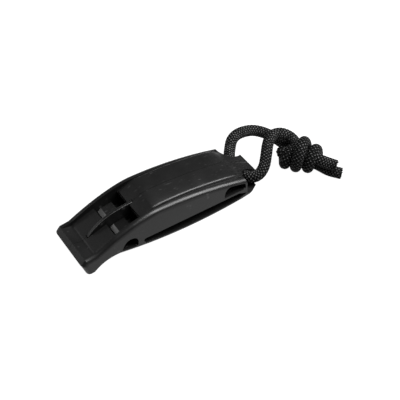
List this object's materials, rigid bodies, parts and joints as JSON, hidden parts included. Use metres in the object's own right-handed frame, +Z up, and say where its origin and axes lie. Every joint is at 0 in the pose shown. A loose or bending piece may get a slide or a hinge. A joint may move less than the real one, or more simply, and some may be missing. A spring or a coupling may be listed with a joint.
{
  "type": "safety whistle",
  "caption": "Flat moulded safety whistle with paired sound windows, open side slots and a short braided cord looped through its tail and knotted.",
  "frame": {"origin": "middle of the moulded body's footprint, on the surface that the whistle lies on", "axes": "+X from the mouth to the tail where the cord leaves, +Y to the left half, +Z up"},
  "size_m": [0.1001, 0.0369, 0.0146],
  "materials": {
    "shell": "satin black moulded plastic with rubbed edges",
    "cord": "black braided cord"
  },
  "bodies": {
    "whistle_body": {"left_half_shell": "shell", "right_half_shell": "shell", "chamber_divider": "shell"},
    "cord": {"cord_loop": "cord", "cord_knot": "cord", "cord_tail_upper": "cord", "cord_tail_lower": "cord"}
  },
  "joints": [
    {"name": "cord_swing", "type": "hinge", "parent": "whistle_body", "child": "cord", "pos_m": [0.03185, 0, 0.0047], "axis": [0, -1, 0], "range_deg": [-8, 80]}
  ]
}
